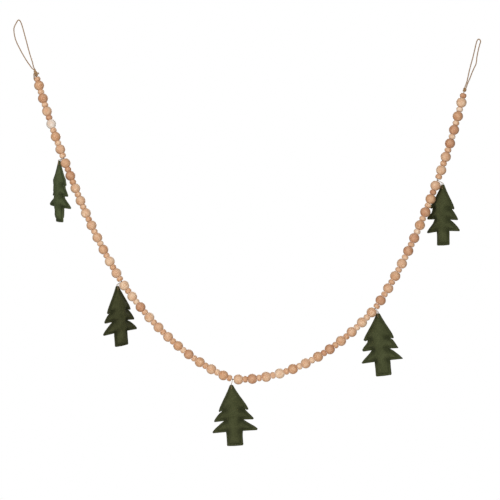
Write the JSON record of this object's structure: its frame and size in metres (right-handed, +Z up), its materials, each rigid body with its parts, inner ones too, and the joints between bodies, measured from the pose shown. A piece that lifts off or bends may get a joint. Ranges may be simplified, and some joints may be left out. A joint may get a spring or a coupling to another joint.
{
  "type": "felt tree garland",
  "caption": "Swag of round wooden beads on jute twine, a loop at each end, with stuffed felt trees hanging from thread loops along it.",
  "frame": {"origin": "the top of the left end loop, on the twine's centre line, where a nail or hook carries it", "axes": "+Z up, +X to the right along the swag to the other end loop, the front faces -Y; the beads hang in the XZ plane"},
  "size_m": [0.9627, 0.0908, 0.8781],
  "materials": {
    "felt": "dark olive green wool felt, brushed and matt",
    "bead_wood": "bare sanded pale hardwood, matt",
    "jute": "natural twisted jute twine, hairy",
    "thread": "undyed cotton thread"
  },
  "bodies": {
    "root": {"left_loop": "jute", "left_knot": "jute", "left_tail_1": "jute", "left_tail_2": "jute", "bead_string": "jute", "beads_1": "bead_wood", "beads_2": "bead_wood", "beads_3": "bead_wood", "beads_4": "bead_wood", "beads_5": "bead_wood", "beads_6": "bead_wood", "hanger_1": "thread", "hanger_2": "thread", "hanger_3": "thread", "hanger_4": "thread", "hanger_5": "thread", "felt_tree_1": "felt", "felt_tree_2": "felt", "felt_tree_3": "felt", "felt_tree_4": "felt", "felt_tree_5": "felt", "right_loop": "jute", "right_knot": "jute"}
  },
  "joints": []
}
